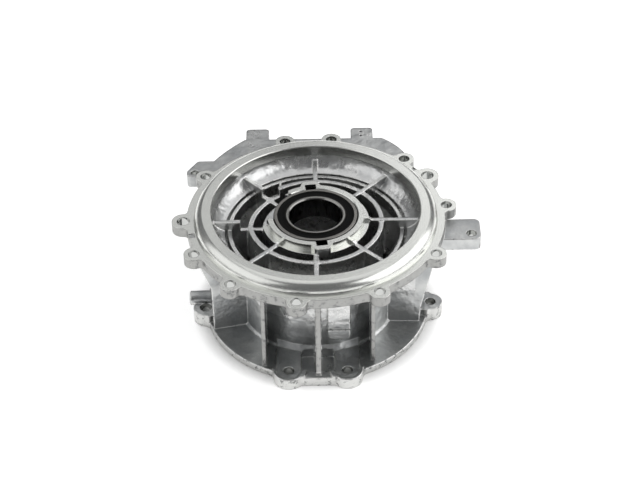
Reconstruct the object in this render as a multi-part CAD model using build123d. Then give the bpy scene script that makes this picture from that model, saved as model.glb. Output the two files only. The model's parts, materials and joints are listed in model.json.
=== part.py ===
# Transfer case extension: an aluminium die casting that carries a sealed ball bearing.
# Millimetres, +Z up, origin on the bearing axis in the machined underside of the foot.
# The viewer of the photograph stands on the -Y side.

import os
from math import atan2, cos, degrees, radians, sin, sqrt

from build123d import *

os.makedirs("parts", exist_ok=True)

# Main sizes that the rest follows
TOTAL_H = 122.9
RING_R = 122.0
BRG_OUTER_R = 40.0
BRG_WIDTH = 23.0

# Bearing, 50 x 80 x 23 sealed deep groove size
BRG_BORE_R = 0.625 * BRG_OUTER_R
BRG_TOP = TOTAL_H - 8.0
BRG_LOW = BRG_TOP - BRG_WIDTH
BRG_MID = BRG_TOP - BRG_WIDTH / 2
BRG_SECTION = BRG_OUTER_R - BRG_BORE_R
BRG_CHAMFER = 1.1
RACE_SHOULDER = 0.2667 * BRG_SECTION
INNER_RACE_R = BRG_BORE_R + RACE_SHOULDER
OUTER_RACE_R = BRG_OUTER_R - RACE_SHOULDER
BALL_PITCH_R = (BRG_BORE_R + BRG_OUTER_R) / 2
BALL_R = 0.3173 * BRG_SECTION
BALL_COUNT = 13
RUN_GAP = 0.04
POCKET_GAP = 0.1
CAGE_HALF_WIDTH = 0.4 * BALL_R
CAGE_HALF_HEIGHT = 1.13 * BALL_R
SEAL_T = 1.5
SEAL_RECESS = 0.5
SEAL_LIP_GAP = 0.06
SEAL_SEAT = 0.4
SEAL_BEAD_W = 1.5
SEAL_DISH = 0.45

# Retaining ring that locks the bearing in the hub
SNAP_T = 1.9
SNAP_TOP = BRG_TOP - 5.1
SNAP_INNER_R = BRG_OUTER_R - 1.4
SNAP_OUTER_R = BRG_OUTER_R + 2.4
SNAP_SIDE_GAP = 0.1
SNAP_ROOT_GAP = 0.2
SNAP_ANGLES = (182.0, 490.0)
SNAP_TAB_W = 3.0
SNAP_TAB_R = SNAP_OUTER_R + 4.1

# Hub
HUB_RIM_R = BRG_OUTER_R + 5.8
HUB_R = BRG_OUTER_R + 10.5
HUB_STEP_Z = BRG_TOP - 7.4
HUB_BORE_R = OUTER_RACE_R
HUB_TAIL_R = HUB_BORE_R + 10.0
HUB_TAIL_H = 16.0
SEAL_BORE_R = HUB_BORE_R + 5.0
SEAL_BORE_DEPTH = 10.0
HUB_CHAMFER = 0.9
NOTCH_ANGLES = (96.0, 277.0)
NOTCH_W = 10.5
NOTCH_IN_R = BRG_OUTER_R - 6.0
NOTCH_OUT_R = BRG_OUTER_R + 7.0
NOTCH_FLOOR_Z = BRG_TOP - 13.9
NOTCH_BOSS_R = HUB_R + 2.1
NOTCH_BOSS_W = 15.0
NOTCH_BOSS_ROOT_W = 20.0
NOTCH_BOSS_CORNER = 2.0

# Radial layout of the bowl: shares of the way from the hub to the edge of the ring
SPAN = RING_R - HUB_R
RIB_RING_IN = HUB_R + 0.1329 * SPAN
RIB_RING_OUT = RIB_RING_IN + 4.3
WALL_R = HUB_R + 0.3287 * SPAN
SLOT_R = HUB_R + 0.5007 * SPAN
MOUTH_R = HUB_R + 0.6727 * SPAN

# Shell of revolution
RING_FACE = TOTAL_H - 10.2
RING_T = 10.2
RING_UNDER = RING_FACE - RING_T
WALL_T = 5.5
FLARE_R = SLOT_R + 5.7
FLARE_Z = RING_UNDER - 16.5
FLARE_TOP_R = FLARE_R + 16.0
WALL_TOP = FLARE_Z - 22.0
BOWL_DEPTH = 82.9
FLOOR_Z = TOTAL_H - BOWL_DEPTH
FLOOR_T = 6.0
LIP_OUT = SLOT_R - 2.8
LIP_TOP = TOTAL_H - 24.4
SLOT_FLOOR = LIP_TOP - 10.5
POCKET_R = LIP_OUT - 3.5
POCKET_Z = LIP_TOP - 12.5
POCKET_DRAFT = 20.0
POCKET_FOOT_Z = POCKET_Z - POCKET_DRAFT
BOWL_MID = (MOUTH_R - 4.3, RING_FACE - 9.0)
BOWL_TOP = RING_FACE - 0.2
MOUTH_CHAMFER = 0.8
SPIGOT_R = MOUTH_R + 8.7
SPIGOT_ROOT_R = SPIGOT_R + 7.7
SPIGOT_MID = (SPIGOT_R + 5.1, TOTAL_H - 3.5)
SPIGOT_LAND = 1.0

# Web of ribs inside the bowl
WEB_TOP = TOTAL_H - 14.9
CROSSING_DROP = 0.5
RIB_T = 3.8
THICK_RIB_T = 4.8
RIB_ANGLES = (0.0, 45.0, 90.0, 135.0, 180.0, 225.0, 270.0, 315.0)
THICK_RIB_ANGLES = (90.0, 270.0)
RIB_INNER = HUB_RIM_R - 1.8
RIB_OUTER = MOUTH_R + 2.4
NUB_TOP = BRG_TOP - 4.3
NUB_R = HUB_R - 0.5
NUB_RUN = 3.5
WEB_FILLET = 2.2

# Lowered sector on the left of the hub, and the U-shaped pocket wall above it
GAP_ANGLES = (125.0, 187.0)
GAP_R = POCKET_R - 8.5
GAP_Z = BRG_TOP - 16.4
TUBE_ANGLE = 127.3
TUBE_PITCH_R = POCKET_R - 9.9
TUBE_R = 7.0
TUBE_WALL = 2.3

# Ears of the mounting ring
BOLT_R = RING_R + 3.0
EAR_R = 9.6
EAR_HOLE_R = 5.15
BIG_EAR_R = 11.0
DOWEL_HOLE_R = 6.0
EAR_FILLET = 0.0328 * RING_R
EAR_ANGLES = (6.6, 45.6, 82.4, 103.6, 148.2, 205.4, 231.2, 261.6, 297.0, 332.2)
BIG_EAR_ANGLES = (29.6, 182.1)
RING_WALL = 8.0
MARK_ANGLES = (37.1, 192.9)
MARK_INSET = (2.4, 2.6)
MARK_SIZE = (4.6, 6.4)
MARK_DEPTH = 1.2

# Rear plate with its lugs: distance beyond the ring's edge
PLATE_T = 13.0
PLATE_UNDER = RING_UNDER - PLATE_T
PLATE_EDGE_Y = RING_R + 17.3
PLATE_EDGE_X = (-0.574 * RING_R, 0.549 * RING_R)
PLATE_LEFT = ((15.6, 144.5), (22.4, 133.6), (27.7, 125.4))
PLATE_RIGHT = ((28.3, 58.1), (21.4, 51.4))
PLATE_OVERLAP = 3.8
PLATE_FOOT_ANGLES = (146.0, 34.0)
PLATE_INNER_R = RING_R - 27.5
LUG_Y = PLATE_EDGE_Y - 2.3
LUG_DEPTH = 40.0
LUG_X = (-57.3, 47.3)
LUG_W = (23.0, 22.0)
LUG_CORNER = 4.0
HOLE_LUG_LEFT = (24.1, 144.05, 3.75)
LEFT_LUG_SIZE = (41.5, 24.6)
LEFT_LUG_SLANT = (10.0, 16.6)
LEFT_LUG_EDGE = (7.7, 6.3)
HOLE_LUG_RIGHT = (25.25, -6.5, 4.75)
RIGHT_LUG_LENGTH = 58.0
RIGHT_LUG_W = 30.0
RIGHT_LUG_EDGE = (8.7, 8.8)
RIGHT_LUG_CORNER = 5.5
DOT_R = 1.1
DOT_DEPTH = 4.0
DOT_X = LUG_X[1] - 1.0
DOT_Y = (PLATE_EDGE_Y + 11.9, PLATE_EDGE_Y + 4.9)

# Foot flange; each side ear by its distance beyond the foot, angle, radius and hole radius
FOOT_R = WALL_R + 34.0
FOOT_T = 7.0
FOOT_BORE_R = WALL_R - 8.0
PILOT_R = WALL_R - 4.0
PILOT_DEPTH = 4.0
FOOT_FILLET = 8.0
FOOT_ROOT = 3.0
FOOT_HOLE_R = 5.0
FRONT_EAR_X = 27.5
FRONT_EAR_Y = 4.1 - FOOT_R
FRONT_EAR_R = 14.5
FRONT_EAR_TOP = 12.0
FRONT_PAD_HALF_W = 11.8
FRONT_ROOT = 4.5
FRONT_RIM_BACK = 3.0
FRONT_EDGE_Y = -5.3 - FOOT_R
FRONT_BAR_TOP = 10.0
FRONT_BAR_DEPTH = 9.3
FRONT_BAR_HALF_W = FRONT_EAR_X - 5.0
FRONT_POCKET_Y = (4.0 - FOOT_R, -2.0 - WALL_R)
FRONT_POCKET_HALF_W = 6.4
FRONT_POCKET_X = 9.2
FRONT_POCKET_FLOOR = 3.0
FRONT_POCKET_CORNER = 2.5
SIDE_EARS = ((1.0, 187.9, 12.0, 5.75), (2.4, -6.0, 11.5, FOOT_HOLE_R))
SIDE_EAR_TOP = 14.5
REAR_EAR_ANGLES = (45.0, 90.0, 135.0)
REAR_EAR_R = 12.0
REAR_EAR_TOP = 12.0
EAR_PAD_SPREAD = 2.5
SPOT_RIM = 2.6
SPOT_DEPTH = 1.0

# Outer ribs: for each its place in X, thickness and reach beyond the wall
OUT_RIB_T = 3.8
FRONT_RIBS = ((-50.3, 3.8, 18.0), (0.5, 4.8, 36.0), (51.8, 3.8, 12.0))
BACK_RIB_X = (-52.0, 0.0, 52.0)
BACK_RIB_FOOT = 22.0
BACK_RIB_TOP = 54.0
SIDE_RIB_ROOT = 8.0
SIDE_RIBS = (
    {"side": -1, "y": (-29.3, -36.6), "foot": 8.3, "knee": 21.7, "knee_z": 57.0, "top": 6.2},
    {"side": 1, "y": (-28.3, -29.4), "foot": 10.0, "knee": 22.2, "knee_z": 27.0, "top": 5.6},
    {"side": 1, "y": (34.0, 36.0), "foot": 10.0, "knee": 22.2, "knee_z": 27.0, "top": 5.6},
    {"side": -1, "y": (34.0, 36.0), "foot": 8.3, "knee": 21.7, "knee_z": 57.0, "top": 6.2})

# Drain boss and pad
DRAIN_Y = -1.7
DRAIN_Z = 15.4
DRAIN_LENGTH = 50.0
DRAIN_ROOT_R = 8.2
DRAIN_END_R = 7.1
DRAIN_CHAMFER = 1.1
DRAIN_HOLE_R = 4.0
DRAIN_HOLE_DEPTH = 18.0
PAD_X = 20.0
PAD_W = 21.0
PAD_FACE_Y = -4.4 - WALL_R
PAD_LEDGE = 2.0
PAD_LEDGE_Z = 39.3
PAD_Z = (28.0, 72.0)
PAD_CORNER = 6.0
PAD_ROOT = 12.0


def on_circle(radius, angle):
    """Plan point at a radius and an angle in degrees from +X."""
    return (radius * cos(radians(angle)), radius * sin(radians(angle)))


def drum(radius, z_low, z_high, at=(0.0, 0.0)):
    """Upright cylinder between two heights."""
    body = Cylinder(radius, z_high - z_low, align=(Align.CENTER, Align.CENTER, Align.MIN))
    return Pos(at[0], at[1], z_low) * body


def lift(outline, z_low, z_high):
    """Flat plan outline pulled up between two heights."""
    return extrude(Pos(0, 0, z_low) * outline, amount=z_high - z_low)


def turned(start, *steps):
    """Solid of revolution about the axis.

    The section is drawn in radius and height; a step is the next corner,
    or a pair (point on the way, end) where the section follows an arc.
    """
    edges = []
    here = (start[0], 0, start[1])
    for step in steps + (start,):
        if isinstance(step[0], tuple):
            way = (step[0][0], 0, step[0][1])
            there = (step[1][0], 0, step[1][1])
            edges.append(ThreePointArc(here, way, there))
        else:
            there = (step[0], 0, step[1])
            edges.append(Line(here, there))
        here = there
    return revolve(make_face(edges), Axis.Z)


def plan_box(x_centre, y_centre, width, depth, corner=0.0):
    """Rectangle in plan, with rounded corners where a corner radius is given."""
    shape = RectangleRounded(width, depth, corner) if corner else Rectangle(width, depth)
    return Pos(x_centre, y_centre) * shape


def plan_span(x_low, x_high, y_low, y_high):
    """Rectangle in plan between two places in X and two in Y."""
    return plan_box((x_low + x_high) / 2, (y_low + y_high) / 2, x_high - x_low, y_high - y_low)


def corners_of(plan):
    """Vertices where an outline really turns, without the seams of its circles."""
    found = []
    for vertex in plan.vertices():
        place = vertex.center()
        ways = []
        for edge in plan.edges():
            for end in (0, 1):
                if (edge.position_at(end) - place).length < 0.001:
                    ways.append(edge.tangent_at(end))
        if len(ways) == 2 and ways[0].cross(ways[1]).length > 0.05:
            found.append(vertex)
    return found


def blade(angle, thickness, outline):
    """Upright plate through the axis: outline in radius and height, turned to an angle."""
    points = [(r, 0, z) for r, z in outline]
    face = make_face(Polyline(points, close=True))
    plate = extrude(face, amount=thickness / 2, both=True)
    return Rot(0, 0, angle) * plate


def rib_from_to(x_root, y_root, x_tip, y_tip, thickness, outline):
    """Upright plate standing on a plan line; outline as share of the line and height."""
    reach = sqrt((x_tip - x_root) ** 2 + (y_tip - y_root) ** 2)
    line = Plane(origin=(x_root, y_root, 0), x_dir=(x_tip - x_root, y_tip - y_root, 0),
                 z_dir=(y_tip - y_root, x_root - x_tip, 0))
    face = make_face(Polyline([(u * reach, z) for u, z in outline], close=True))
    return extrude(line * face, amount=thickness / 2, both=True)


def shell():
    """Body wall, flare, bowl and spigot as one turned body."""
    inner = WALL_R - WALL_T
    under_ring = RING_R - 2
    return turned(
        (FOOT_BORE_R, 0), (WALL_R, 0), (WALL_R, WALL_TOP), (FLARE_R, FLARE_Z),
        (FLARE_TOP_R, RING_UNDER), (under_ring, RING_UNDER), (under_ring, RING_FACE),
        (SPIGOT_ROOT_R, RING_FACE), (SPIGOT_ROOT_R, RING_FACE + SPIGOT_LAND),
        (SPIGOT_MID, (SPIGOT_R, TOTAL_H)), (MOUTH_R + MOUTH_CHAMFER, TOTAL_H),
        (MOUTH_R, TOTAL_H - MOUTH_CHAMFER), (MOUTH_R, BOWL_TOP),
        (BOWL_MID, (SLOT_R, LIP_TOP)), (SLOT_R, SLOT_FLOOR), (LIP_OUT, SLOT_FLOOR),
        (LIP_OUT, LIP_TOP), (POCKET_R, LIP_TOP), (POCKET_R, POCKET_Z),
        (inner, POCKET_FOOT_Z), (inner, FLOOR_Z + FLOOR_T), (HUB_BORE_R, FLOOR_Z + FLOOR_T),
        (HUB_BORE_R, FLOOR_Z), (inner, FLOOR_Z), (inner, FOOT_T + 4), (FOOT_BORE_R, FOOT_T + 1))


def inside_of_shell():
    """Space that ends in the middle of the shell's wall, used to trim the ribs."""
    mid_wall = WALL_R - WALL_T / 2
    return turned(
        (0.001, FLOOR_Z + 1), (mid_wall, FLOOR_Z + 1), (mid_wall, WALL_TOP + 1),
        (SLOT_R + 1.2, POCKET_Z), (SLOT_R + 5.7, LIP_TOP - 2.5), (RIB_OUTER, WEB_TOP),
        (RIB_OUTER, TOTAL_H - 4), (0.001, TOTAL_H - 4))


def mounting_ring():
    """Flat ring with twelve ears, filleted where the ears leave it."""
    plan = Circle(RING_R)
    for angle in EAR_ANGLES:
        plan += Pos(*on_circle(BOLT_R, angle)) * Circle(EAR_R)
    for angle in BIG_EAR_ANGLES:
        plan += Pos(*on_circle(BOLT_R, angle)) * Circle(BIG_EAR_R)
    plan = fillet(corners_of(plan), EAR_FILLET)
    return lift(plan - Circle(RING_R - RING_WALL), RING_UNDER, RING_FACE)


def ring_holes():
    """Twelve bolt holes and the two shallow square marks in the ring face."""
    cut = []
    low, high = PLATE_UNDER - 1, RING_FACE + 1
    for angle in EAR_ANGLES:
        cut.append(drum(EAR_HOLE_R, low, high, on_circle(BOLT_R, angle)))
    for angle in BIG_EAR_ANGLES:
        cut.append(drum(DOWEL_HOLE_R, low, high, on_circle(BOLT_R, angle)))
    for angle, inset, size in zip(MARK_ANGLES, MARK_INSET, MARK_SIZE):
        mark = Box(size, size, 2 * MARK_DEPTH)
        cut.append(Rot(0, 0, angle) * Pos(RING_R - inset, 0, RING_FACE) * mark)
    return cut


def beyond_ring(distance, angle):
    """Plan point at a distance outside the ring's edge."""
    return on_circle(RING_R + distance, angle)


def rear_outline():
    """Outline of the plate behind the ring: two bowed shoulders and a straight rear edge."""
    left_end, right_end = [(x, PLATE_EDGE_Y) for x in PLATE_EDGE_X]
    left_neck, left_tip, left_bow = [beyond_ring(*place) for place in PLATE_LEFT]
    right_bow, right_tip = [beyond_ring(*place) for place in PLATE_RIGHT]
    left_foot, right_foot = [beyond_ring(-PLATE_OVERLAP, angle) for angle in PLATE_FOOT_ANGLES]
    return [Line(left_neck, left_tip), ThreePointArc(left_tip, left_bow, left_end),
            Line(left_end, right_end), ThreePointArc(right_end, right_bow, right_tip),
            Line(right_tip, right_foot), Line(right_foot, left_foot),
            Line(left_foot, left_neck)]


def left_hole_lug():
    """Side lug at the rear left, its outer corner cut off along a slant."""
    hole_x, hole_y = beyond_ring(*HOLE_LUG_LEFT[:2])
    x, y = hole_x - LEFT_LUG_EDGE[0], hole_y - LEFT_LUG_EDGE[1]
    width, depth = LEFT_LUG_SIZE
    run, rise = LEFT_LUG_SLANT
    lug = make_face(Polyline([(x + width, y), (x + width, y + depth), (x + run, y + depth),
                              (x, y + depth - rise), (x, y)], close=True))
    outer = [corner for corner in corners_of(lug) if corner.center().X < x + 2 * run]
    return fillet(outer, LUG_CORNER)


def rear_plate():
    """Partial flange behind the ring with two rear lugs and two side lugs."""
    plan = make_face([edge for line in rear_outline() for edge in line.edges()])
    for x, width in zip(LUG_X, LUG_W):
        plan += plan_box(x, LUG_Y, width, LUG_DEPTH, LUG_CORNER)
    plan += left_hole_lug()
    x, y = beyond_ring(*HOLE_LUG_RIGHT[:2])
    x, y = x + RIGHT_LUG_EDGE[0] - RIGHT_LUG_LENGTH / 2, y - RIGHT_LUG_EDGE[1] + RIGHT_LUG_W / 2
    plan += plan_box(x, y, RIGHT_LUG_LENGTH, RIGHT_LUG_W, RIGHT_LUG_CORNER)
    plan -= Circle(PLATE_INNER_R)
    return lift(plan, PLATE_UNDER, RING_UNDER)


def plate_holes():
    """Holes in the side lugs and the two small marks on the right rear lug."""
    cut = []
    for distance, angle, radius in (HOLE_LUG_LEFT, HOLE_LUG_RIGHT):
        cut.append(drum(radius, PLATE_UNDER - 1, RING_UNDER + 1, beyond_ring(distance, angle)))
    for y in DOT_Y:
        cut.append(drum(DOT_R, RING_UNDER - DOT_DEPTH, RING_UNDER + 1, (DOT_X, y)))
    return cut


def foot_ears():
    """Each bolt ear of the foot: centre, radius, height of its pad, radius of its hole."""
    ears = []
    for side in (-1, 1):
        ears.append(((side * FRONT_EAR_X, FRONT_EAR_Y), FRONT_EAR_R, FRONT_EAR_TOP, FOOT_HOLE_R))
    for distance, angle, radius, hole in SIDE_EARS:
        ears.append((on_circle(FOOT_R + distance, angle), radius, SIDE_EAR_TOP, hole))
    for angle in REAR_EAR_ANGLES:
        ears.append((on_circle(FOOT_R, angle), REAR_EAR_R, REAR_EAR_TOP, FOOT_HOLE_R))
    return ears


def foot():
    """Flat foot flange with its bolt ears and the raised pads round the bolts."""
    plan = Circle(FOOT_R)
    plan += plan_span(-FRONT_EAR_X, FRONT_EAR_X, FRONT_EDGE_Y, -WALL_R)
    for place, radius, top, hole in foot_ears():
        plan += Pos(*place) * Circle(radius)
    plan = fillet(corners_of(plan), FOOT_FILLET)
    plan -= Circle(WALL_R - WALL_T / 2)
    sunk = FOOT_T - 1
    body = lift(plan, 0, FOOT_T)
    body += turned((WALL_R - 1, sunk), (WALL_R + FOOT_ROOT, sunk), (WALL_R - 1, FOOT_T + FOOT_ROOT))
    in_wall = WALL_R - 4
    for (x, y), radius, top, hole in foot_ears():
        region = Pos(x, y) * Circle(radius + EAR_PAD_SPREAD)
        if top == SIDE_EAR_TOP:
            low_x, high_x = sorted((x, in_wall if x > 0 else -in_wall))
            region += plan_span(low_x, high_x, y - radius, y + radius)
        elif y == FRONT_EAR_Y:
            region &= plan_span(x - FOOT_R, x + FOOT_R, y - FOOT_R, y + FRONT_RIM_BACK)
        body += lift(plan & region, sunk, top)
    bar = plan_span(-FRONT_BAR_HALF_W, FRONT_BAR_HALF_W,
                    FRONT_EDGE_Y, FRONT_EDGE_Y + FRONT_BAR_DEPTH)
    return body + lift(bar, sunk, FRONT_BAR_TOP) + front_shelf()


def front_shelf():
    """Raised shelf from the two front ears back to the wall, with a broad root on the wall."""
    low, high = FOOT_T - 1, FRONT_EAR_TOP - SPOT_DEPTH
    in_wall = WALL_R - 4
    half = FRONT_EAR_X + FRONT_PAD_HALF_W
    shelf = plan_span(-half, half, FRONT_POCKET_Y[1], -in_wall)
    for side in (-1, 1):
        x = side * FRONT_EAR_X
        shelf += plan_span(x - FRONT_PAD_HALF_W, x + FRONT_PAD_HALF_W, FRONT_EAR_Y, -in_wall)
    root = turned((WALL_R - 1, high - 1), (WALL_R + FRONT_ROOT + 1, high - 1),
                  (WALL_R - 1, high + FRONT_ROOT + 1))
    root &= Pos(0, -WALL_R, high) * Box(2 * half, WALL_R, 2 * FRONT_EAR_TOP)
    return lift(shelf - Circle(in_wall), low, high) + root


def foot_cuts():
    """Bolt holes, spot faces on the lower ears, front pockets and the locating bore."""
    cut = []
    for place, radius, top, hole in foot_ears():
        cut.append(drum(hole, -1, top + 1, place))
        if top < SIDE_EAR_TOP:
            cut.append(drum(radius - SPOT_RIM, top - SPOT_DEPTH, top + 4, place))
    low, high = FRONT_POCKET_Y
    for side in (-1, 1):
        pocket = plan_box(side * FRONT_POCKET_X, (low + high) / 2, 2 * FRONT_POCKET_HALF_W,
                          high - low, FRONT_POCKET_CORNER)
        cut.append(lift(pocket, FRONT_POCKET_FLOOR, FRONT_EAR_TOP + FRONT_ROOT + 2))
    cut.append(drum(PILOT_R, -1, PILOT_DEPTH))
    return cut


def outer_ribs():
    """Ribs between the foot and the ring, most of them square to the casting's axes."""
    low, high = FOOT_T - 1, RING_UNDER + 1
    ribs = []
    for x, thickness, reach in FRONT_RIBS:
        y_root = -sqrt((WALL_R - 2) ** 2 - x ** 2)
        ribs.append(rib_from_to(x, y_root, x, -WALL_R - reach, thickness,
                                ((0, low), (1, low), (1, high), (0, high))))
    for x in BACK_RIB_X:
        y_root = sqrt((WALL_R - 2) ** 2 - x ** 2)
        y_foot = WALL_R + BACK_RIB_FOOT
        over = (WALL_R + BACK_RIB_TOP - y_root) / (y_foot - y_root)
        ribs.append(rib_from_to(x, y_root, x, y_foot, OUT_RIB_T,
                                ((0, low), (1, low), (over, PLATE_UNDER + 1),
                                 (0, PLATE_UNDER + 1))))
    for rib in SIDE_RIBS:
        root, tip = WALL_R - SIDE_RIB_ROOT, FOOT_R - rib["foot"]
        knee = (RING_R - rib["knee"] - root) / (tip - root)
        top = (RING_R - rib["top"] - root) / (tip - root)
        ribs.append(rib_from_to(rib["side"] * root, rib["y"][0], rib["side"] * tip, rib["y"][1],
                                OUT_RIB_T, ((0, low), (1, low), (knee, rib["knee_z"]),
                                            (top, high), (0, high))))
    body = ribs[0]
    for rib in ribs[1:]:
        body += rib
    return body - inside_of_shell()


def outer_details():
    """Drain boss on the left and the stepped pad on the front wall."""
    in_wall = WALL_R - 3
    boss = Cone(DRAIN_ROOT_R, DRAIN_END_R, WALL_R + DRAIN_LENGTH - in_wall,
                align=(Align.CENTER, Align.CENTER, Align.MIN))
    boss = chamfer(boss.edges().sort_by(Axis.Z)[-1], DRAIN_CHAMFER)
    boss = Pos(-in_wall, DRAIN_Y, DRAIN_Z) * Rot(0, -90, 0) * boss
    low, high = PAD_Z
    face = Plane(origin=(PAD_X, PAD_FACE_Y, (low + high) / 2), x_dir=(1, 0, 0), z_dir=(0, -1, 0))
    outline = face * RectangleRounded(PAD_W, high - low, PAD_CORNER)
    panel = extrude(outline, amount=-PAD_ROOT)
    sill = extrude(outline, amount=PAD_LEDGE)
    sill &= Pos(PAD_X, PAD_FACE_Y, 0) * Box(2 * PAD_W, 2 * PAD_W, 2 * PAD_LEDGE_Z)
    return boss + panel + sill


def gap_sector(radius, z_low, z_high):
    """Pie slice on the left side of the hub, where the casting is lower."""
    fan = [(0, 0)]
    for angle in (GAP_ANGLES[0], sum(GAP_ANGLES) / 2, GAP_ANGLES[1]):
        fan.append(on_circle(3 * radius, angle))
    plan = make_face(Polyline(fan, close=True)) & Circle(radius)
    return lift(plan, z_low, z_high)


def rib_web():
    """Hub step, ring rib and eight radial ribs, rounded where they cross, inside the bowl."""
    plan = Circle(RIB_RING_OUT) - Circle(RIB_RING_IN)
    plan += Circle(HUB_R)
    bars = []
    for angle in RIB_ANGLES:
        thick = angle in THICK_RIB_ANGLES
        width = THICK_RIB_T if thick else RIB_T
        plan += Rot(0, 0, angle) * plan_box((RIB_INNER + RIB_OUTER) / 2, 0,
                                            RIB_OUTER - RIB_INNER, width)
        nub = WEB_TOP if thick else NUB_TOP
        bars.append(blade(angle, width, (
            (RIB_INNER, FLOOR_Z + 1), (RIB_INNER, nub), (NUB_R, nub), (NUB_R + NUB_RUN, WEB_TOP),
            (RIB_OUTER, WEB_TOP), (RIB_OUTER, FLOOR_Z + 1))))
    inner = [corner for corner in corners_of(plan) if corner.center().length < RIB_OUTER - 3]
    plan = fillet(inner, WEB_FILLET)
    web = lift(plan, FLOOR_Z + 1, WEB_TOP - CROSSING_DROP)
    for bar in bars:
        web += bar
    return web & inside_of_shell()


def hub():
    """Bearing hub: stepped rim, bosses round the two puller notches and the tail."""
    body = drum(HUB_R, FLOOR_Z, HUB_STEP_Z) + drum(HUB_RIM_R, FLOOR_Z, BRG_TOP)
    half, root, corner = NOTCH_BOSS_W / 2, NOTCH_BOSS_ROOT_W / 2, NOTCH_BOSS_CORNER
    for angle in NOTCH_ANGLES:
        plan = Polyline([(HUB_RIM_R - 6, -root), (HUB_RIM_R - 1, -root),
                         (NOTCH_BOSS_R - corner, -half), (NOTCH_BOSS_R, corner - half),
                         (NOTCH_BOSS_R, half - corner), (NOTCH_BOSS_R - corner, half),
                         (HUB_RIM_R - 1, root), (HUB_RIM_R - 6, root)], close=True)
        body += Rot(0, 0, angle) * lift(make_face(plan), FLOOR_Z + 2, BRG_TOP)
    return body + drum(HUB_TAIL_R, FLOOR_Z - HUB_TAIL_H, FLOOR_Z + 1)


def hub_cuts():
    """Bearing seat, its shoulder, the puller notches, the ring groove and the seal bore."""
    above = BRG_TOP + 10
    seat = drum(BRG_OUTER_R, BRG_LOW, above)
    seat += Pos(0, 0, BRG_TOP - HUB_CHAMFER) * Cone(
        BRG_OUTER_R, BRG_OUTER_R + 2 * HUB_CHAMFER, 2 * HUB_CHAMFER,
        align=(Align.CENTER, Align.CENTER, Align.MIN))
    cut = [seat, drum(HUB_BORE_R, 0, BRG_TOP)]
    tail = FLOOR_Z - HUB_TAIL_H
    cut.append(drum(SEAL_BORE_R, tail - 1, tail + SEAL_BORE_DEPTH))
    for angle in NOTCH_ANGLES:
        slot = plan_span(NOTCH_IN_R, NOTCH_OUT_R, -NOTCH_W / 2, NOTCH_W / 2)
        cut.append(Rot(0, 0, angle) * lift(slot, NOTCH_FLOOR_Z, above))
    groove = SNAP_OUTER_R + SNAP_ROOT_GAP
    cut.append(drum(groove, SNAP_TOP - SNAP_T - SNAP_SIDE_GAP, SNAP_TOP + SNAP_SIDE_GAP))
    return cut


def tube_wall():
    """U-shaped pocket wall at the upper left, open towards the thin lip: wall, hollow."""
    x, y = on_circle(TUBE_PITCH_R, TUBE_ANGLE)
    outer = Pos(x, y) * Circle(TUBE_R + TUBE_WALL)
    outer += plan_span(x - TUBE_R - TUBE_WALL, x + TUBE_R + TUBE_WALL, y, POCKET_R + 1)
    inner = Pos(x, y) * Circle(TUBE_R)
    inner += plan_span(x - TUBE_R, x + TUBE_R, y, POCKET_R + 1)
    wall = lift((outer - inner) & Circle(POCKET_R + 1), FLOOR_Z + 1, LIP_TOP)
    hollow = lift(inner & Circle(POCKET_R), FLOOR_Z + FLOOR_T + 4, TOTAL_H)
    return wall & inside_of_shell(), hollow


def tail_ribs():
    """Eight plain ribs under the floor between the tail and the body wall."""
    low = FLOOR_Z - HUB_TAIL_H + 4
    outline = ((HUB_TAIL_R - 3, FLOOR_Z + 1), (HUB_TAIL_R - 3, low), (WALL_R - 2, FOOT_T + 8),
               (WALL_R - 2, FLOOR_Z + 1))
    body = blade(RIB_ANGLES[0], RIB_T, outline)
    for angle in RIB_ANGLES[1:]:
        body += blade(angle, RIB_T, outline)
    return body


def build_housing():
    """The whole casting with its machined faces and holes."""
    body = shell() + mounting_ring() + rear_plate() + foot()
    body += outer_ribs()
    body += outer_details()
    web = rib_web()
    wall, hollow = tube_wall()
    body += web - hollow
    body += wall
    body += tail_ribs()
    body += hub()
    body -= gap_sector(GAP_R, GAP_Z, BRG_TOP + 3)
    for cut in hub_cuts() + ring_holes() + plate_holes() + foot_cuts():
        body -= cut
    drill = Cylinder(DRAIN_HOLE_R, 2 * DRAIN_HOLE_DEPTH)
    body -= Pos(-WALL_R - DRAIN_LENGTH, DRAIN_Y, DRAIN_Z) * Rot(0, 90, 0) * drill
    return body


def race_groove():
    """Torus that clears the balls by the running gap."""
    return Pos(0, 0, BRG_MID) * Torus(BALL_PITCH_R, BALL_R + RUN_GAP)


def build_outer_ring():
    """Outer bearing ring with its race, seal seats and retaining ring groove."""
    low, high, c = BRG_LOW, BRG_TOP, BRG_CHAMFER
    depth = SEAL_T + SEAL_RECESS
    seat = OUTER_RACE_R + SEAL_SEAT
    groove = SNAP_INNER_R - SNAP_ROOT_GAP
    g_low, g_high = SNAP_TOP - SNAP_T - SNAP_SIDE_GAP, SNAP_TOP + SNAP_SIDE_GAP
    ring = turned(
        (seat, low), (BRG_OUTER_R - c, low), (BRG_OUTER_R, low + c), (BRG_OUTER_R, g_low),
        (groove, g_low), (groove, g_high), (BRG_OUTER_R, g_high), (BRG_OUTER_R, high - c),
        (BRG_OUTER_R - c, high), (seat, high), (seat, high - depth),
        (OUTER_RACE_R, high - depth), (OUTER_RACE_R, low + depth), (seat, low + depth))
    return ring - race_groove()


def build_inner_ring():
    """Inner bearing ring with its race."""
    low, high, c = BRG_LOW, BRG_TOP, BRG_CHAMFER
    ring = turned((BRG_BORE_R, low + c), (BRG_BORE_R + c, low), (INNER_RACE_R, low),
                  (INNER_RACE_R, high), (BRG_BORE_R + c, high), (BRG_BORE_R, high - c))
    return ring - race_groove()


def ball_places():
    """Centres of the balls, evenly spaced on the pitch circle."""
    step = 360.0 / BALL_COUNT
    return [(*on_circle(BALL_PITCH_R, number * step), BRG_MID) for number in range(BALL_COUNT)]


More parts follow.
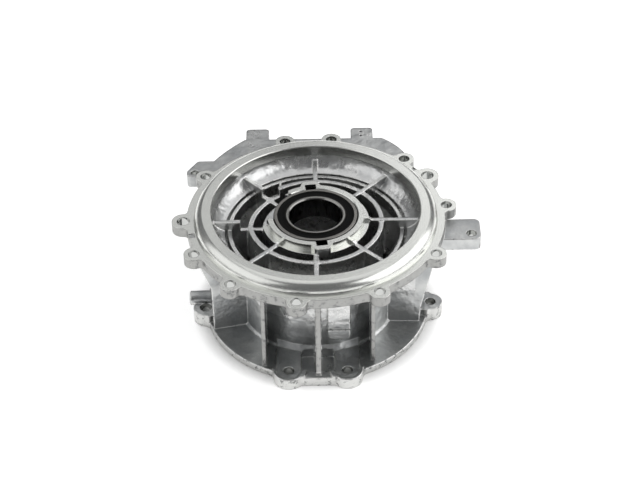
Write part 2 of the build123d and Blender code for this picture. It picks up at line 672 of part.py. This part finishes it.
def build_balls():
    """All balls as one group of solids."""
    return Compound([Pos(*place) * Sphere(BALL_R) for place in ball_places()])


def build_cage():
    """Solid cage band with a round pocket for every ball."""
    low, high = BRG_MID - CAGE_HALF_HEIGHT, BRG_MID + CAGE_HALF_HEIGHT
    cage = drum(BALL_PITCH_R + CAGE_HALF_WIDTH, low, high)
    cage -= drum(BALL_PITCH_R - CAGE_HALF_WIDTH, low - 1, high + 1)
    for place in ball_places():
        turn = degrees(atan2(place[1], place[0]))
        pocket = Cylinder(BALL_R + POCKET_GAP, 6 * CAGE_HALF_WIDTH)
        cage -= Pos(*place) * Rot(0, 0, turn) * Rot(0, 90, 0) * pocket
    return cage


def build_seal(outside, inward):
    """Seal disc seated in the outer ring, its lip just clear of the inner ring.

    The outside face carries a bead at each edge and is dished between them.
    Inward is the direction in height from the outside face into the bearing.
    """
    lip, seat = INNER_RACE_R + SEAL_LIP_GAP, OUTER_RACE_R + SEAL_SEAT
    back, dish = outside + inward * SEAL_T, outside + inward * SEAL_DISH
    return turned(
        (lip, back), (seat, back), (seat, outside), (seat - SEAL_BEAD_W, outside),
        (seat - SEAL_BEAD_W - SEAL_DISH, dish), (lip + SEAL_BEAD_W + SEAL_DISH, dish),
        (lip + SEAL_BEAD_W, outside), (lip, outside))


def build_snap_ring():
    """Open retaining ring with a turned-out tab at each end."""
    start, end = SNAP_ANGLES
    fan = [(0, 0)]
    for part in range(5):
        fan.append(on_circle(3 * SNAP_OUTER_R, start + (end - start) * part / 4))
    plan = (Circle(SNAP_OUTER_R) - Circle(SNAP_INNER_R)) & make_face(Polyline(fan, close=True))
    for angle, side in ((start, 1), (end, -1)):
        tab = plan_box((SNAP_OUTER_R + SNAP_TAB_R) / 2 - 1, side * SNAP_TAB_W / 2,
                       SNAP_TAB_R - SNAP_OUTER_R + 2, SNAP_TAB_W)
        plan += Rot(0, 0, angle) * tab
    return lift(plan, SNAP_TOP - SNAP_T, SNAP_TOP)


parts = {
    "housing": build_housing(),
    "bearing_outer_ring": build_outer_ring(),
    "bearing_inner_ring": build_inner_ring(),
    "bearing_balls": build_balls(),
    "bearing_cage": build_cage(),
    "bearing_seal_upper": build_seal(BRG_TOP - SEAL_RECESS, -1),
    "bearing_seal_lower": build_seal(BRG_LOW + SEAL_RECESS, 1),
    "retaining_ring": build_snap_ring(),
}

for name, shape in parts.items():
    export_step(shape, os.path.join("parts", name + ".step"))
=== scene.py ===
"""Looks of a cast transfer case extension with its sealed ball bearing.

The CAD frame gives every shape. This script gives the real finishes, the floor, the light
and the camera, in metres, in the frame of the CAD model.
"""
import json

import bpy
from mathutils import Matrix, Vector

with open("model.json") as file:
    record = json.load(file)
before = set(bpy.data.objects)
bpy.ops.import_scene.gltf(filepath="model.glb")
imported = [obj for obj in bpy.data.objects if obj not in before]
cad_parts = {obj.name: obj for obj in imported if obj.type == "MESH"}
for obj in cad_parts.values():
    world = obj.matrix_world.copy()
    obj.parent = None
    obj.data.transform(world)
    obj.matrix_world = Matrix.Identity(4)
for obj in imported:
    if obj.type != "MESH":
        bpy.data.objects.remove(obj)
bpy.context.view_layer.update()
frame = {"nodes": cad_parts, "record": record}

# Housing. One high-pressure aluminium die casting, as cast on its walls and ribs, turned on the
# ring face, its bevel, the mouth and the hub, and drilled for its bolts. It stands on its foot.


def linear(hex_colour):
    """Colour socket value of an sRGB hex colour: each channel goes through the sRGB curve."""
    channels = [int(hex_colour[i:i + 2], 16) / 255 for i in (1, 3, 5)]
    return [c / 12.92 if c < 0.04045 else ((c + 0.055) / 1.055) ** 2.4
            for c in channels] + [1.0]


def add(tree, kind, links=None, values=None, **settings):
    """One node with its settings, the values of its unlinked sockets, and its incoming links.

    A link that is given as a node starts at that node's first output.
    """
    node = tree.nodes.new("ShaderNode" + kind)
    for name, value in settings.items():
        setattr(node, name, value)
    for socket, value in (values or {}).items():
        node.inputs[socket].default_value = value
    for socket, source in (links or {}).items():
        start = source.outputs[0] if isinstance(source, bpy.types.Node) else source
        tree.links.new(start, node.inputs[socket])
    return node


def start_material(name):
    """Empty node material, and the object coordinates that every pattern reads."""
    material = bpy.data.materials.new(name)
    material.use_nodes = True
    tree = material.node_tree
    tree.nodes.clear()
    return material, tree, add(tree, "TexCoord").outputs["Object"]


def wear(name, material, tree, shader):
    """Shader to the material's surface, and the material on a node of the frame."""
    add(tree, "OutputMaterial", {"Surface": shader})
    frame["nodes"][name].data.materials.clear()
    frame["nodes"][name].data.materials.append(material)


def from_axis(tree, place):
    """Distance of a point from the bearing axis, and its height."""
    flat = add(tree, "VectorMath", {0: place}, {1: (1, 1, 0)}, operation="MULTIPLY")
    radius = add(tree, "VectorMath", {0: flat}, operation="LENGTH")
    return radius.outputs["Value"], add(tree, "SeparateXYZ", {0: place}).outputs["Z"]


def between(tree, value, low, high, blur):
    """Mask that is 1 from low to high and falls to 0 over the blur outside them."""
    middle, half = (low + high) / 2, (high - low) / 2
    away = add(tree, "Math", {0: value}, {1: middle}, operation="SUBTRACT")
    away = add(tree, "Math", {0: away}, operation="ABSOLUTE")
    return add(tree, "MapRange", {"Value": away},
               {"From Min": half, "From Max": half + blur, "To Min": 1, "To Max": 0})


def combine(tree, operation, first, *others):
    """Masks or distances taken together by one Math operation after the other.

    MULTIPLY keeps where all masks meet, MAXIMUM where any is, MINIMUM the nearest distance.
    """
    for other in others:
        first = add(tree, "Math", {0: first, 1: other}, operation=operation)
    return first


def zone(tree, radius, height, radii, heights, blurs):
    """Mask of a zone round the axis: between two radii and two heights, with both blurs."""
    return combine(tree, "MULTIPLY", between(tree, radius, *radii, blurs[0]),
                   between(tree, height, *heights, blurs[1]))


def hole_walls(tree, place, low, high):
    """Mask of the walls of the bolt holes whose mounts in the record lie from low to high."""
    # Wider bores are no bolt holes, and a hole reaches no farther than this from its mount.
    widest_bolt_hole_mm = 10
    reach_down, reach_up = 0.010, 0.015
    holes = []
    for mount in frame["record"]["mounts"]:
        x, y, z = mount["pos_m"]
        dims = mount["dims"]
        if not low <= z <= high:
            continue
        if mount["kind"] == "bolt_pattern":
            half = dims["spacing_x_mm"] / 2000
            holes += [(x - half, y, dims["hole_r_mm"]), (x + half, y, dims["hole_r_mm"])]
        elif mount["kind"] == "bore" and dims["r_mm"] < widest_bolt_hole_mm:
            holes.append((x, y, dims["r_mm"]))
    # Distance in plan from the wall of the nearest hole, faded out from 0.2 to 0.4 mm.
    plan = add(tree, "VectorMath", {0: place}, {1: (1, 1, 0)}, operation="MULTIPLY")
    gaps = []
    for x, y, radius_mm in holes:
        away = add(tree, "VectorMath", {0: plan}, {1: (x, y, 0)}, operation="DISTANCE")
        gaps.append(add(tree, "Math", {0: away.outputs["Value"]}, {1: radius_mm / 1000},
                        operation="SUBTRACT"))
    near = add(tree, "MapRange", {"Value": combine(tree, "MINIMUM", *gaps)},
               {"From Min": 0.0002, "From Max": 0.0004, "To Min": 1, "To Max": 0})
    height = add(tree, "SeparateXYZ", {0: place}).outputs["Z"]
    return combine(tree, "MULTIPLY", near,
                   between(tree, height, low - reach_down, high + reach_up, 0.0001))


# A Mix node holds numbers, vectors and colours side by side, so its sockets go by number.
NUMBER_A, NUMBER_B, VECTOR_A, VECTOR_B, COLOUR_A, COLOUR_B = range(2, 8)
VECTOR_OUT, COLOUR_OUT = 1, 2

# Die-cast aluminium: a dense skin, softly glossy and slightly wavy from the flow of the metal,
# with stains of release agent, and edges painted bright as wear and as painted highlight.
cast_aluminium, tree, place = start_material("die_cast_aluminium")
radius, height = from_axis(tree, place)
# A radius and a height that lie outside the whole casting.
BEYOND, ABOVE = 0.200, 0.130

# Turned zones: the ring face with its ears and the raised edge round the mouth, the hub's rim,
# and the wall and step round the hub.
on_ring = zone(tree, radius, height, radii=(0.0975, BEYOND), heights=(0.1125, ABOVE),
               blurs=(0.0004, 0.0001))
on_rim = zone(tree, radius, height, radii=(0.0, 0.0545), heights=(0.1141, ABOVE),
              blurs=(0.0004, 0.0002))
on_step = zone(tree, radius, height, radii=(0.0380, 0.0512), heights=(0.1069, 0.1160),
               blurs=(0.0004, 0.0002))
turned = combine(tree, "MAXIMUM", on_ring, on_rim, on_step)
# Drilled zones: the holes of the foot, and those of the ring and the lugs.
drilled = combine(tree, "MAXIMUM", hole_walls(tree, place, 0.0, 0.03),
                  hole_walls(tree, place, 0.09, 0.12))
machined = combine(tree, "MAXIMUM", turned, drilled)

# Waves 11 mm and 4 mm apart from the flow, and die grain drawn at 1.4 mm so that it shows. The
# plate and the lugs were dressed flat, so their waves are low.
waves = add(tree, "TexNoise", {"Vector": place}, {"Scale": 90, "Detail": 2, "Roughness": 0.55})
ripple = add(tree, "TexNoise", {"Vector": place}, {"Scale": 260, "Detail": 1})
grain = add(tree, "TexNoise", {"Vector": place}, {"Scale": 720, "Detail": 3, "Roughness": 0.65})
on_plate = zone(tree, radius, height, radii=(0.1180, BEYOND), heights=(0.0880, 0.1015),
                blurs=(0.0005, 0.0004))
wave_height = add(tree, "MapRange", {"Value": on_plate}, {"To Min": 0.0011, "To Max": 0.0002})
# Cast edges are rounded by 1.9 mm, machined ones broken by 0.6 mm.
edge_radius = add(tree, "Mix", {"Factor": machined}, {NUMBER_A: 0.0019, NUMBER_B: 0.0006})
rounded = add(tree, "Bevel", {"Radius": edge_radius}, samples=8)
waved = add(tree, "Bump", {"Height": waves, "Normal": rounded, "Distance": wave_height},
            {"Strength": 1.0})
rippled = add(tree, "Bump", {"Height": ripple, "Normal": waved},
              {"Strength": 1.0, "Distance": 0.0001})
grained = add(tree, "Bump", {"Height": grain, "Normal": rippled},
              {"Strength": 0.5, "Distance": 0.00004})

# The tool's marks run round the axis: noise in angle, radius and height, drawn out to 13 mm
# round the ring and 1.4 mm across it. Reamed holes keep hardly any marks.
axes = add(tree, "SeparateXYZ", {0: place})
angle = add(tree, "Math", {0: axes.outputs["Y"], 1: axes.outputs["X"]}, operation="ARCTAN2")
angle = add(tree, "Math", {0: angle}, {1: 0.012}, operation="MULTIPLY")
round_axis = add(tree, "CombineXYZ", {"X": angle, "Y": radius, "Z": height})
marks = add(tree, "TexNoise", {"Vector": round_axis},
            {"Scale": 700, "Detail": 3, "Roughness": 0.6})
cut_depth = add(tree, "MapRange", {"Value": drilled}, {"To Min": 0.8, "To Max": 0.04})
lathed = add(tree, "Bump", {"Height": marks, "Normal": rounded, "Strength": cut_depth},
             {"Distance": 0.00009})
normal = add(tree, "Mix", {"Factor": machined, VECTOR_A: grained, VECTOR_B: lathed},
             data_type="VECTOR")

# Edges: where the rounded normal leaves the face's own normal, as the cosine between them.
own = add(tree, "NewGeometry").outputs["Normal"]
same = add(tree, "VectorMath", {0: rounded, 1: own}, operation="DOT_PRODUCT")
edge = add(tree, "MapRange", {"Value": same.outputs["Value"]},
           {"From Min": 0.998, "From Max": 0.93})
# Rims of the ring and of the foot, where the trimming die cut the flash off: upright faces
# near the edge of each flange.
tilt = add(tree, "SeparateXYZ", {0: own}).outputs["Z"]
upright = between(tree, tilt, -0.5, 0.5, 0.2)
ring_rim = zone(tree, radius, height, radii=(0.1195, BEYOND), heights=(0.1020, 0.1124),
                blurs=(0.0005, 0.0003))
ring_rim = combine(tree, "MULTIPLY", ring_rim, upright)
foot_rim = zone(tree, radius, height, radii=(0.1060, BEYOND), heights=(0.0, 0.0145),
                blurs=(0.0005, 0.0003))
foot_rim = combine(tree, "MULTIPLY", foot_rim, upright)
# Ends of the outside ribs, trimmed too: upright faces that look away from the axis.
level = add(tree, "VectorMath", {0: place}, {1: (1, 1, 0)}, operation="MULTIPLY")
outward = add(tree, "VectorMath", {0: level}, operation="NORMALIZE")
facing = add(tree, "VectorMath", {0: own, 1: outward}, operation="DOT_PRODUCT")
rib_ends = zone(tree, radius, height, radii=(0.0930, BEYOND), heights=(0.0, 0.0950),
                blurs=(0.0005, 0.0005))
rib_ends = combine(tree, "MULTIPLY", rib_ends,
                   between(tree, facing.outputs["Value"], 0.80, 1.2, 0.05))
rims = combine(tree, "MAXIMUM", ring_rim, foot_rim, rib_ends)
# The edges in this mask get painted highlight as well as wear.
trimmed = combine(tree, "MAXIMUM", edge, rims)

# Pits that the trimming and the die leave, drawn at 1 mm so that they show, in clusters 5 mm
# apart. Stains of release agent lie 24 mm apart.
pits = add(tree, "TexNoise", {"Vector": place}, {"Scale": 1000, "Detail": 3, "Roughness": 0.6})
clusters = add(tree, "TexNoise", {"Vector": place}, {"Scale": 200, "Detail": 1})
pits = add(tree, "Math", {0: pits, 1: clusters}, operation="ADD")
pitted = add(tree, "MapRange", {"Value": pits}, {"From Min": 1.09, "From Max": 1.24})
stain = add(tree, "TexNoise", {"Vector": place}, {"Scale": 42, "Detail": 5, "Roughness": 0.65})
blot = add(tree, "MapRange", {"Value": stain}, {"From Min": 0.36, "From Max": 0.62})
# The skin is painted greyer outside than inside the bowl: painted shade outside, painted light
# in the bowl.
outside = add(tree, "Mix", {"Factor": blot},
              {COLOUR_A: linear("#B2B4B5"), COLOUR_B: linear("#CACBCA")}, data_type="RGBA")
inside = add(tree, "Mix", {"Factor": blot},
             {COLOUR_A: linear("#CACBCB"), COLOUR_B: linear("#DEDEDD")}, data_type="RGBA")
in_bowl = zone(tree, radius, height, radii=(0.0, 0.0984), heights=(0.0455, ABOVE),
               blurs=(0.0005, 0.0005))
skin = add(tree, "Mix", {"Factor": in_bowl, COLOUR_A: outside.outputs[COLOUR_OUT],
                         COLOUR_B: inside.outputs[COLOUR_OUT]}, data_type="RGBA")
# Edges are painted bright as wear and as painted highlight, sheared rims grey, the foot's rim
# lighter, and the pits dark.
highlit_edges_and_rims = add(tree, "Mix", {"Factor": rims},
            {COLOUR_A: linear("#EFEFED"), COLOUR_B: linear("#A6A6A4")}, data_type="RGBA")
highlit_edges_and_rims = add(tree, "Mix", {"Factor": foot_rim, COLOUR_A: highlit_edges_and_rims.outputs[COLOUR_OUT]},
            {COLOUR_B: linear("#D6D6D4")}, data_type="RGBA")
bright = add(tree, "Mix", {"Factor": pitted, COLOUR_A: highlit_edges_and_rims.outputs[COLOUR_OUT]},
             {COLOUR_B: linear("#747575")}, data_type="RGBA")
worn_and_highlit = add(tree, "Mix", {"Factor": trimmed, COLOUR_A: skin.outputs[COLOUR_OUT],
                           COLOUR_B: bright.outputs[COLOUR_OUT]}, data_type="RGBA")
# Turned faces are bare and bright. The hole walls are painted grey, as painted shade in the
# holes.
cut = add(tree, "Mix", {"Factor": drilled},
          {COLOUR_A: linear("#E5E6E2"), COLOUR_B: linear("#C2C3C1")}, data_type="RGBA")
faced = add(tree, "Mix", {"Factor": machined, COLOUR_A: worn_and_highlit.outputs[COLOUR_OUT],
                          COLOUR_B: cut.outputs[COLOUR_OUT]}, data_type="RGBA")

# The skin is duller outside than in the bowl, and the stains change its gloss.
dull = add(tree, "MapRange", {"Value": stain},
           {"From Min": 0.3, "From Max": 0.7, "To Min": 0.46, "To Max": 0.26})
glossy = add(tree, "MapRange", {"Value": stain},
             {"From Min": 0.3, "From Max": 0.7, "To Min": 0.36, "To Max": 0.22})
cast_rough = add(tree, "Mix", {"Factor": in_bowl, NUMBER_A: dull, NUMBER_B: glossy})
smooth_rough = add(tree, "Mix", {"Factor": drilled}, {NUMBER_A: 0.24, NUMBER_B: 0.06})
rough = add(tree, "Mix", {"Factor": machined, NUMBER_A: cast_rough, NUMBER_B: smooth_rough})
metal = add(tree, "BsdfPrincipled",
            {"Base Color": faced.outputs[COLOUR_OUT], "Roughness": rough,
             "Normal": normal.outputs[VECTOR_OUT]}, {"Metallic": 1.0})
wear("housing", cast_aluminium, tree, metal)

# Bearing rings and balls. Through-hardened chromium steel: the rings ground on their faces and
# polished in the bore, the balls lapped. The outer ring is pressed into the hub.
ground_steel, tree, place = start_material("ground_bearing_steel")
radius, _ = from_axis(tree, place)
# Grinding lines run round the ring, drawn 0.5 mm apart so that they show.
lines = add(tree, "TexNoise", {"W": radius}, {"Scale": 2000, "Detail": 1},
            noise_dimensions="1D")
rounded = add(tree, "Bevel", values={"Radius": 0.0005}, samples=6)
lined = add(tree, "Bump", {"Height": lines, "Normal": rounded},
            {"Strength": 0.4, "Distance": 0.00001})
bloom = add(tree, "TexNoise", {"Vector": place}, {"Scale": 120, "Detail": 3})
tint = add(tree, "Mix", {"Factor": bloom},
           {COLOUR_A: linear("#858380"), COLOUR_B: linear("#93918D")}, data_type="RGBA")
# The chamfer where the ring meets the hub is painted near black, as painted shade in the gap.
painted_joint_shade = between(tree, radius, 0.0393, 0.0402, 0.0001)
tint = add(tree, "Mix", {"Factor": painted_joint_shade, COLOUR_A: tint.outputs[COLOUR_OUT]},
           {COLOUR_B: linear("#171717")}, data_type="RGBA")
rough = add(tree, "MapRange", {"Value": bloom}, {"To Min": 0.30, "To Max": 0.22})
steel = add(tree, "BsdfPrincipled",
            {"Base Color": tint.outputs[COLOUR_OUT], "Roughness": rough, "Normal": lined},
            {"Metallic": 1.0})
wear("bearing_outer_ring", ground_steel, tree, steel)

# The inner ring's bore is finished finer than its faces, a mirror, and painted darker as
# painted shade.
inner_steel, tree, place = start_material("polished_bearing_steel")
radius, height = from_axis(tree, place)
in_bore = between(tree, radius, 0.0, 0.0252, 0.0002)
rounded = add(tree, "Bevel", values={"Radius": 0.0005}, samples=6)
rings = add(tree, "TexNoise", {"W": height}, {"Scale": 1500, "Detail": 1},
            noise_dimensions="1D")
ringed = add(tree, "Bump", {"Height": rings, "Normal": rounded},
             {"Strength": 0.3, "Distance": 0.000004})
bloom = add(tree, "TexNoise", {"Vector": place}, {"Scale": 120, "Detail": 3})
face = add(tree, "Mix", {"Factor": bloom},
           {COLOUR_A: linear("#93928F"), COLOUR_B: linear("#A3A29F")}, data_type="RGBA")
# The outer part of the face, next to the seal, is painted dark.
dark_outer_band = between(tree, radius, 0.0279, 0.0400, 0.0002)
face = add(tree, "Mix", {"Factor": dark_outer_band, COLOUR_A: face.outputs[COLOUR_OUT]},
           {COLOUR_B: linear("#2B2A28")}, data_type="RGBA")
# The bore's darker colour is painted shade.
tint = add(tree, "Mix", {"Factor": in_bore, COLOUR_A: face.outputs[COLOUR_OUT]},
           {COLOUR_B: linear("#747373")}, data_type="RGBA")
rough = add(tree, "Mix", {"Factor": in_bore}, {NUMBER_A: 0.22, NUMBER_B: 0.10})
steel = add(tree, "BsdfPrincipled",
            {"Base Color": tint.outputs[COLOUR_OUT], "Roughness": rough, "Normal": ringed},
            {"Metallic": 1.0})
wear("bearing_inner_ring", inner_steel, tree, steel)

# The balls are lapped to a clear mirror, with only a faint haze.
ball_steel, tree, place = start_material("lapped_ball_steel")
haze = add(tree, "TexNoise", {"Vector": place}, {"Scale": 300, "Detail": 2})
tint = add(tree, "Mix", {"Factor": haze},
           {COLOUR_A: linear("#9A9B9D"), COLOUR_B: linear("#A8A9AB")}, data_type="RGBA")
rough = add(tree, "MapRange", {"Value": haze}, {"To Min": 0.05, "To Max": 0.09})
steel = add(tree, "BsdfPrincipled",
            {"Base Color": tint.outputs[COLOUR_OUT], "Roughness": rough}, {"Metallic": 1.0})
wear("bearing_balls", ball_steel, tree, steel)

# Cage. One band injection-moulded from polyamide filled with glass fibre, brown-black, that
# spaces the balls. The fibres are drawn 0.7 mm apart so that they show.
cage_polyamide, tree, place = start_material("glass_filled_polyamide")
flow = add(tree, "TexNoise", {"Vector": place}, {"Scale": 240, "Detail": 3})
fibre = add(tree, "TexNoise", {"Vector": place}, {"Scale": 1400, "Detail": 2})
tint = add(tree, "Mix", {"Factor": flow},
           {COLOUR_A: linear("#2A2622"), COLOUR_B: linear("#3A342E")}, data_type="RGBA")
rounded = add(tree, "Bevel", values={"Radius": 0.0003}, samples=4)
fibred = add(tree, "Bump", {"Height": fibre, "Normal": rounded},
             {"Strength": 0.4, "Distance": 0.00003})
rough = add(tree, "MapRange", {"Value": flow}, {"To Min": 0.42, "To Max": 0.55})
plastic = add(tree, "BsdfPrincipled",
              {"Base Color": tint.outputs[COLOUR_OUT], "Roughness": rough, "Normal": fibred},
              {"IOR": 1.53})
wear("bearing_cage", cage_polyamide, tree, plastic)

# Seals. Nitrile rubber moulded on a steel disc and snapped into the outer ring: black, nearly
# matt, with a trace of grease.
for name in ("bearing_seal_upper", "bearing_seal_lower"):
    seal_rubber, tree, place = start_material("nitrile_rubber_" + name.rsplit("_", 1)[1])
    radius, _ = from_axis(tree, place)
    # Fine rings of the turned mould, drawn 1 mm apart.
    mould = add(tree, "TexNoise", {"W": radius}, {"Scale": 1000, "Detail": 1},
                noise_dimensions="1D")
    bloom = add(tree, "TexNoise", {"Vector": place}, {"Scale": 160, "Detail": 3})
    tint = add(tree, "Mix", {"Factor": bloom},
               {COLOUR_A: linear("#070707"), COLOUR_B: linear("#0E0E0E")}, data_type="RGBA")
    rounded = add(tree, "Bevel", values={"Radius": 0.0004}, samples=6)
    moulded = add(tree, "Bump", {"Height": mould, "Normal": rounded},
                  {"Strength": 0.4, "Distance": 0.00002})
    rough = add(tree, "MapRange", {"Value": bloom}, {"To Min": 0.50, "To Max": 0.62})
    rubber = add(tree, "BsdfPrincipled",
                 {"Base Color": tint.outputs[COLOUR_OUT], "Roughness": rough,
                  "Normal": moulded}, {"Specular IOR Level": 0.1})
    wear(name, seal_rubber, tree, rubber)

# Retaining ring. Spring steel stamped from strip, hardened and blackened with phosphate, whose
# crystals are drawn 1.1 mm wide so that they show. It is sprung into the hub's groove.
ring_steel, tree, place = start_material("phosphated_spring_steel")
crystals = add(tree, "TexNoise", {"Vector": place}, {"Scale": 900, "Detail": 3})
tint = add(tree, "Mix", {"Factor": crystals},
           {COLOUR_A: linear("#26272A"), COLOUR_B: linear("#3B3C40")}, data_type="RGBA")
rounded = add(tree, "Bevel", values={"Radius": 0.0003}, samples=4)
crusted = add(tree, "Bump", {"Height": crystals, "Normal": rounded},
              {"Strength": 0.4, "Distance": 0.00002})
rough = add(tree, "MapRange", {"Value": crystals}, {"To Min": 0.40, "To Max": 0.55})
steel = add(tree, "BsdfPrincipled",
            {"Base Color": tint.outputs[COLOUR_OUT], "Roughness": rough, "Normal": crusted},
            {"Metallic": 1.0})
wear("retaining_ring", ring_steel, tree, steel)

# Floor. A pale sweep of photographer's paper, seen white, except inside the foot's radius,
# where the object hides it, and in a painted shadow round the foot's edge.
paper, tree, place = start_material("white_paper")
radius, _ = from_axis(tree, place)
fibre = add(tree, "TexNoise", {"Vector": place}, {"Scale": 90, "Detail": 3})
tint = add(tree, "Mix", {"Factor": fibre},
           {COLOUR_A: linear("#F2F2F1"), COLOUR_B: linear("#F6F6F5")}, data_type="RGBA")
matte = add(tree, "BsdfDiffuse", {"Color": tint.outputs[COLOUR_OUT]})
path = add(tree, "LightPath").outputs
seen = combine(tree, "MAXIMUM", path["Is Camera Ray"], path["Is Glossy Ray"],
               path["Is Transmission Ray"])
# The glow fades out from 106 to 122 mm round the axis: under the object, and beyond the foot's
# edge as a painted shadow on the floor.
floor_glow_past_shadow = add(tree, "MapRange", {"Value": radius}, {"From Min": 0.106, "From Max": 0.122})
seen = combine(tree, "MULTIPLY", seen, floor_glow_past_shadow)
glow = add(tree, "Emission", {"Strength": seen}, {"Color": linear("#CACACA")})
lit = add(tree, "AddShader", {0: matte, 1: glow})
add(tree, "OutputMaterial", {"Surface": lit})
floor_half = 30
floor_mesh = bpy.data.meshes.new("floor")
floor_mesh.from_pydata([(-floor_half, -floor_half, 0), (floor_half, -floor_half, 0),
                        (floor_half, floor_half, 0), (-floor_half, floor_half, 0)],
                       [], [(0, 1, 2, 3)])
floor = bpy.data.objects.new("floor", floor_mesh)
bpy.context.scene.collection.objects.link(floor)
floor.data.materials.append(paper)

# Light. Large softboxes in a dim room, all aimed at the middle of the object: one above, two
# behind, and one on each side. Each row has its place and size in metres, and its watts.
aim = Vector((0, 0, 0.06))
for name, at, size, watts in (
        ("softbox_top", (0.0, 0.35, 1.9), (2.4, 2.1), 11.0),
        ("softbox_back_left", (-0.65, 1.75, 1.45), (1.2, 0.75), 1.5),
        ("softbox_back_right", (0.75, 1.75, 1.45), (1.5, 0.75), 3.6),
        ("softbox_left", (-1.80, -0.40, 1.20), (2.8, 1.8), 14.0),
        ("softbox_right", (1.85, -0.20, 1.15), (3.3, 1.8), 30.0)):
    lamp = bpy.data.lights.new(name, "AREA")
    lamp.shape = "RECTANGLE"
    lamp.size, lamp.size_y = size
    lamp.energy = watts
    carrier = bpy.data.objects.new(name, lamp)
    bpy.context.scene.collection.objects.link(carrier)
    turn = (aim - Vector(at)).to_track_quat("-Z", "Y").to_matrix().to_4x4()
    carrier.matrix_world = Matrix.Translation(at) @ turn
room = bpy.data.worlds.new("dim_room")
bpy.context.scene.world = room
room.use_nodes = True
walls = room.node_tree.nodes["Background"].inputs
walls["Color"].default_value = linear("#C8C9CB")
walls["Strength"].default_value = 0.26

# Camera. A long lens 1.8 m away and 39 degrees above the table, on the side of the two front
# foot ears, rolled by one degree. Its place and directions were solved from the photograph.
camera = bpy.data.cameras.new("camera")
camera.lens = 106.875
camera.clip_end = 100.0
eye = bpy.data.objects.new("camera", camera)
bpy.context.scene.collection.objects.link(eye)
eye_place = (0.0036967, -1.4137475, 1.2169599)
right = Vector((0.99986, -0.01040, -0.01298))
up = Vector((0.01663, 0.62535, 0.78016))
back = right.cross(up).normalized()
up = back.cross(right).normalized()
turn = Matrix((right.normalized(), up, back)).transposed().to_4x4()
eye.matrix_world = Matrix.Translation(eye_place) @ turn
bpy.context.scene.camera = eye
bpy.context.scene.view_settings.view_transform = "Standard"
